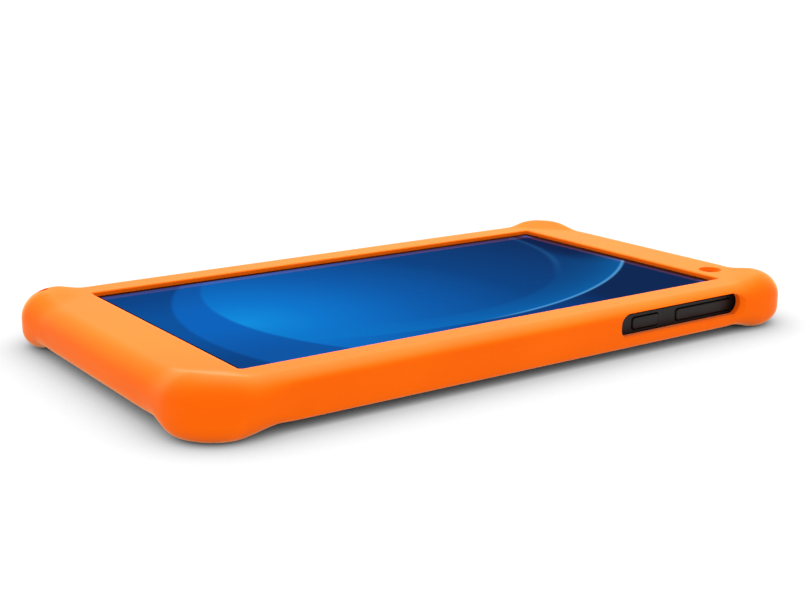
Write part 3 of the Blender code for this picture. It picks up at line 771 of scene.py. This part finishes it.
stuffs = {
    "black_plastic": stuff("matt_black_plastic", (0.010, 0.009, 0.009), (0.014, 0.013, 0.013), 0.45,
                           Specular_IOR_Level=0.25),
    "key_plastic": stuff("satin_key_plastic", (0.007, 0.006, 0.005), (0.010, 0.009, 0.008), 0.38,
                         Specular_IOR_Level=0.25),
    "clear_acrylic": stuff("light_guide_acrylic", (0.80, 0.83, 0.86), (0.90, 0.92, 0.94), 0.08, IOR=1.49),
    "black_foam": stuff("black_foam", (0.010, 0.010, 0.011), (0.030, 0.030, 0.032), 0.85, 0.8, 0.35, 0.08),
    "tinned_steel": stuff("tinned_steel", (0.52, 0.53, 0.54), (0.64, 0.65, 0.66), 0.26, 5, 0.6, 0.002,
                          Metallic=1.0),
    "board_green": stuff("solder_mask", (0.004, 0.070, 0.030), (0.006, 0.095, 0.042), 0.28, Coat_Weight=0.4),
    "chip_epoxy": stuff("chip_epoxy", (0.010, 0.010, 0.011), (0.016, 0.016, 0.017), 0.55, 2, 0.12, 0.008),
    "connector_nylon": stuff("natural_nylon", (0.68, 0.64, 0.52), (0.78, 0.74, 0.63), 0.45, 2),
    "amber_film": stuff("amber_film", (0.34, 0.13, 0.012), (0.46, 0.19, 0.020), 0.25, 8, Coat_Weight=0.3),
    "pouch_foil": stuff("pouch_foil", (0.50, 0.51, 0.53), (0.60, 0.61, 0.63), 0.30, 12, 3.0, 0.10,
                        Metallic=0.9),
    "red_lead": stuff("red_insulation", (0.45, 0.010, 0.008), (0.58, 0.016, 0.010), 0.35, 1.5),
    "black_lead": stuff("black_insulation", (0.010, 0.010, 0.010), (0.020, 0.020, 0.020), 0.35, 1.5),
    "screen_glass": stuff("display_film", (0.010, 0.030, 0.070), (0.014, 0.045, 0.100), 0.16, 25),
    "black_glass": glass,
    "orange_silicone": silicone,
}
print("kinds of stuff:", len(stuffs))

# %% [markdown]
# These are the finishes that carry a pattern. The board's tracks run in short straight lines, the
# flat cables have copper lines under their film, and dots printed on the light guide spread the
# light. The power of a pattern is that it follows from one or two sizes.

# %% Masks for patterns
def stripes(finish, along, pitch, share):
    """1 on stripes and 0 between them, crossing an axis at a pitch in mm."""
    return finish.maths("LESS_THAN", finish.maths("FRACT", along / pitch + 0.5 * share), share)


def inside(finish, first, second, centre, radius, soft=0.05):
    """1 inside a circle in mm and 0 outside it."""
    across, up = first - centre[0], second - centre[1]
    distance = finish.maths("SQRT", across * across + up * up)
    return 1 - finish.rise(distance, radius - soft, radius + soft)


print("masks ready: stripes and circles")

# %% Patterns on the inner parts
board = stuffs["board_green"]
lanes = stripes(board, board.axis("Y"), 0.9, 0.3)
lanes *= board.maths("GREATER_THAN", board.noise(7 * MM, detail=0.0), 0.5)
board.feed(Base_Color=board.mix(lanes, board.colour, (0.030, 0.220, 0.085, 1.0)))

film = stuffs["amber_film"]
copper = stripes(film, film.axis("Y"), 0.8, 0.5)
film.feed(Base_Color=film.mix(copper, film.colour, (0.62, 0.26, 0.07, 1.0)), Metallic=0.7 * copper)

guide = stuffs["clear_acrylic"]
dots = guide.node("ShaderNodeTexVoronoi", {},
                  {"Vector": guide.place, "Scale": 1 / (1.2 * MM), "Randomness": 0.0})
guide.feed(Roughness=0.08 + 0.4 * (1 - guide.rise(dots, 0.25, 0.30)))

display = stuffs["screen_glass"]
columns = stripes(display, display.axis("X"), 0.15, 0.33)
display.feed(Base_Color=display.mix(0.25 * columns, display.colour, (0.02, 0.08, 0.16, 1.0)))
print("inner patterns drawn on:", "solder mask, film, light guide, display")

# %% [markdown]
# A few single parts have a finish of their own. The dust mesh is woven, with its holes painted near black
# as painted shade of the dark space behind them; the tongue of the small socket carries gold contacts,
# and the headphone socket has a metal ring at its mouth.

# %% Patterns on the mesh and the sockets
gauze = stuff("speaker_gauze", (0.010, 0.010, 0.011), (0.020, 0.020, 0.022), 0.6)
holes = stripes(gauze, gauze.axis("X"), 0.45, 0.55) * stripes(gauze, gauze.axis("Y"), 0.45, 0.55)
# the holes are painted near black: painted shade for the dark space behind the mesh
gauze.feed(Base_Color=gauze.mix(holes, (0.060, 0.060, 0.065, 1.0), (0.002, 0.002, 0.002, 1.0)),
           Normal=gauze.bump(1 - holes, 0.06 * MM))

USB_Y = -10.0
contacts = stuff("usb_tongue_plastic", (0.012, 0.012, 0.013), (0.018, 0.018, 0.019), 0.4)
from_middle = contacts.axis("Y") - USB_Y
gold = stripes(contacts, from_middle, 0.65, 0.5) * (1 - contacts.rise(abs(from_middle), 1.55, 1.65))
contacts.feed(Base_Color=contacts.mix(gold, contacts.colour, (0.80, 0.52, 0.16, 1.0)), Metallic=gold)

JACK_AT, RING_R = (20.0, 7.3), 2.5
jack = stuff("headphone_socket_plastic", (0.012, 0.012, 0.013), (0.018, 0.018, 0.019), 0.4)
ring = inside(jack, jack.axis("Y"), jack.axis("Z"), JACK_AT, RING_R) * jack.rise(jack.axis("X"), 92.0, 92.6)
jack.feed(Base_Color=jack.mix(ring, jack.colour, (0.55, 0.55, 0.57, 1.0)), Metallic=ring)
print("contacts round y =", USB_Y, "mm")

# %% [markdown]
# A camera is a black disc with a small coated lens in its middle. The coating is what gives a lens its
# violet and blue depth. It is painted as two circles, with a grey ring for the barrel round them.

# %% Lenses
def camera_finish(name, centre, lens, rim):
    """Black glass with a coated lens in its middle, both radii in mm."""
    finish = stuff(name, (0.004, 0.004, 0.005), (0.006, 0.006, 0.008), 0.06, Coat_Weight=0.3)
    x, y = finish.axis("X"), finish.axis("Y")
    coating = finish.mix(inside(finish, x, y, centre, lens * 0.55, 0.3), (0.05, 0.012, 0.075, 1.0),
                         (0.004, 0.012, 0.035, 1.0))
    coloured = finish.mix(inside(finish, x, y, centre, lens), finish.colour, coating)
    edge = inside(finish, x, y, centre, rim) * (1 - inside(finish, x, y, centre, lens))
    finish.feed(Base_Color=finish.mix(edge, coloured, (0.045, 0.045, 0.050, 1.0)),
                Roughness=0.06 + 0.3 * edge)
    return finish


front_lens = camera_finish("front_lens", (84.9, -33.9), 0.9, 1.3)
rear_lens = camera_finish("rear_lens", (76.0, 19.5), 1.6, 2.4)
print("lenses:", front_lens.material.name, rear_lens.material.name)

# %% [markdown]
# Last, every loaded part gets its finish. The material slot it came with says what it is made of, and
# the few parts with a finish of their own are looked up by name.

# %% Hand out the finishes
special = {
    "speaker_mesh": gauze,
    "usb_tongue": contacts,
    "headphone_socket": jack,
    "front_camera": front_lens,
    "rear_camera_lens": rear_lens,
}
for node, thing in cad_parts.items():
    for slot in thing.material_slots:
        kind = slot.material.name.split(".")[0]
        slot.material = special.get(node, stuffs[kind]).material
print("parts given a finish:", len(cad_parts))

# %% [markdown]
# ## The end
#
# The made pieces must stay within the designed ones.
